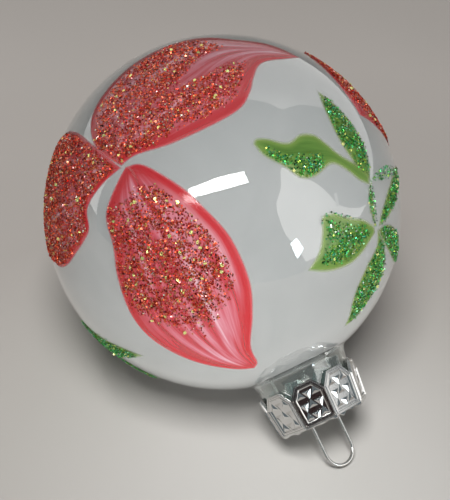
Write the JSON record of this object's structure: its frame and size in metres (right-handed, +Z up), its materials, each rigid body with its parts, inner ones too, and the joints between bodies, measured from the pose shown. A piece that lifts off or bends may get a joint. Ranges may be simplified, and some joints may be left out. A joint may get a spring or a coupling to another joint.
{
  "type": "glass ball ornament",
  "caption": "Round hollow glass ornament with a short neck, a crown cap with a wire hanging loop, a white inner coat, and painted glittered flowers and leaves.",
  "frame": {"origin": "on the table under the middle of the part's front-to-back extent, below the neck's axis plane", "axes": "+Z up from the table it lies on; the neck points towards -Y and down to the table; +X to the right when looking along +Y"},
  "size_m": [0.0821, 0.0898, 0.0812],
  "materials": {
    "clear_glass": "clear blown glass, glossy",
    "white_coat": "opaque white lacquer seen through the glass",
    "silver_cap": "bright stamped sheet",
    "steel_wire": "bright drawn wire",
    "petal_paint": "translucent glossy paint with dark red edges",
    "red_glitter": "red, orange and gold glitter in clear glue",
    "leaf_paint": "translucent olive green paint with soft edges",
    "green_glitter": "green, teal and yellow glitter in clear glue"
  },
  "bodies": {
    "cap": {"cap": "silver_cap"},
    "hanger": {"hanger_wire": "steel_wire"},
    "ball": {"glass_ball": "clear_glass", "white_coat": "white_coat", "petal_front_neck": "petal_paint", "petal_front_right": "petal_paint", "petal_front_left": "petal_paint", "petal_back_neck": "petal_paint", "petal_back_right": "petal_paint", "petal_back_left": "petal_paint", "petal_glitter_front_neck": "red_glitter", "petal_glitter_front_right": "red_glitter", "petal_glitter_front_left": "red_glitter", "petal_glitter_back_neck": "red_glitter", "petal_glitter_back_right": "red_glitter", "petal_glitter_back_left": "red_glitter", "leaf_front_1": "leaf_paint", "leaf_front_2": "leaf_paint", "leaf_front_3": "leaf_paint", "leaf_front_4": "leaf_paint", "leaf_front_5": "leaf_paint", "leaf_front_6": "leaf_paint", "leaf_back_1": "leaf_paint", "leaf_back_2": "leaf_paint", "leaf_back_3": "leaf_paint", "leaf_back_4": "leaf_paint", "leaf_back_5": "leaf_paint", "leaf_glitter_front_1": "green_glitter", "leaf_glitter_front_2": "green_glitter", "leaf_glitter_front_3": "green_glitter", "leaf_glitter_front_4": "green_glitter", "leaf_glitter_front_5": "green_glitter", "leaf_glitter_front_6": "green_glitter", "leaf_glitter_back_1": "green_glitter", "leaf_glitter_back_2": "green_glitter", "leaf_glitter_back_3": "green_glitter", "leaf_glitter_back_4": "green_glitter", "leaf_glitter_back_5": "green_glitter", "stem_front": "leaf_paint", "stem_back": "leaf_paint"}
  },
  "joints": [
    {"name": "cap_on_wire", "type": "slide", "parent": "cap", "child": "hanger", "axis": [0, 0.7818, 0.6235], "range_m": [0, 0.007]},
    {"name": "cap_off_neck", "type": "slide", "parent": "hanger", "child": "ball", "axis": [0, 0.7818, 0.6235], "range_m": [0, 0.024]}
  ]
}
